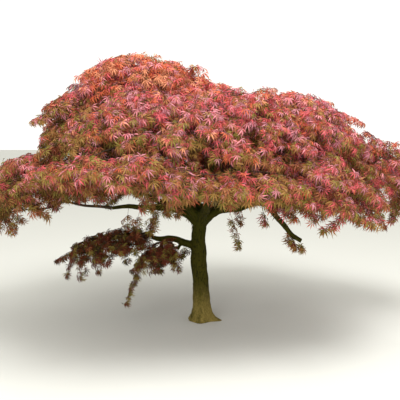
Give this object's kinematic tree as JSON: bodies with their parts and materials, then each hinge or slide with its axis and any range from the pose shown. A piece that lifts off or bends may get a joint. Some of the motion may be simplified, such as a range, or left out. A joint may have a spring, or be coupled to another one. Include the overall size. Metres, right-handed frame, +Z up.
{
  "type": "weeping japanese maple tree rooted in the ground",
  "caption": "Weeping laceleaf maple: a short leaning trunk cut flat at the ground, a low fork, arching boughs and an umbrella of red foliage that hangs in tiers.",
  "frame": {"origin": "middle of the flat cut under the trunk, at ground level", "axes": "+Z up, +X to the tree's right and -Y to its front, as the picture looks at it"},
  "size_m": [4.1249, 3.1587, 2.1862],
  "materials": {
    "bark": "dark olive-brown bark, rough and finely fissured",
    "leaf_top": "thin living leaves, bright orange-red and pink",
    "leaf_upper": "thin living leaves, pinkish red",
    "leaf_lower": "thin living leaves, red to brown",
    "leaf_low": "thin living leaves in shade, dark maroon-brown"
  },
  "bodies": {
    "root": {"trunk": "bark", "lower_left_bough": "bark", "lower_front_left_bough": "bark", "lower_front_bough": "bark", "lower_front_right_bough": "bark", "lower_right_bough": "bark", "lower_back_right_bough": "bark", "lower_back_bough": "bark", "lower_back_left_bough": "bark", "upper_left_bough": "bark", "upper_front_left_bough": "bark", "upper_front_bough": "bark", "upper_right_bough": "bark", "upper_back_right_bough": "bark", "upper_back_bough": "bark", "top_front_bough": "bark", "top_back_bough": "bark", "top_right_bough": "bark", "low_left_bough": "bark", "low_inner_bough": "bark", "bare_bough": "bark", "lower_left_foliage": "leaf_lower", "lower_front_left_foliage": "leaf_lower", "lower_front_foliage": "leaf_lower", "lower_front_right_foliage": "leaf_lower", "lower_right_foliage": "leaf_lower", "lower_back_right_foliage": "leaf_lower", "lower_back_foliage": "leaf_lower", "lower_back_left_foliage": "leaf_lower", "upper_left_foliage": "leaf_upper", "upper_front_left_foliage": "leaf_upper", "upper_front_foliage": "leaf_upper", "upper_right_foliage": "leaf_upper", "upper_back_right_foliage": "leaf_upper", "upper_back_foliage": "leaf_upper", "top_front_foliage": "leaf_top", "top_back_foliage": "leaf_top", "top_right_foliage": "leaf_top", "low_left_foliage": "leaf_low", "low_inner_foliage": "leaf_low"}
  },
  "joints": []
}
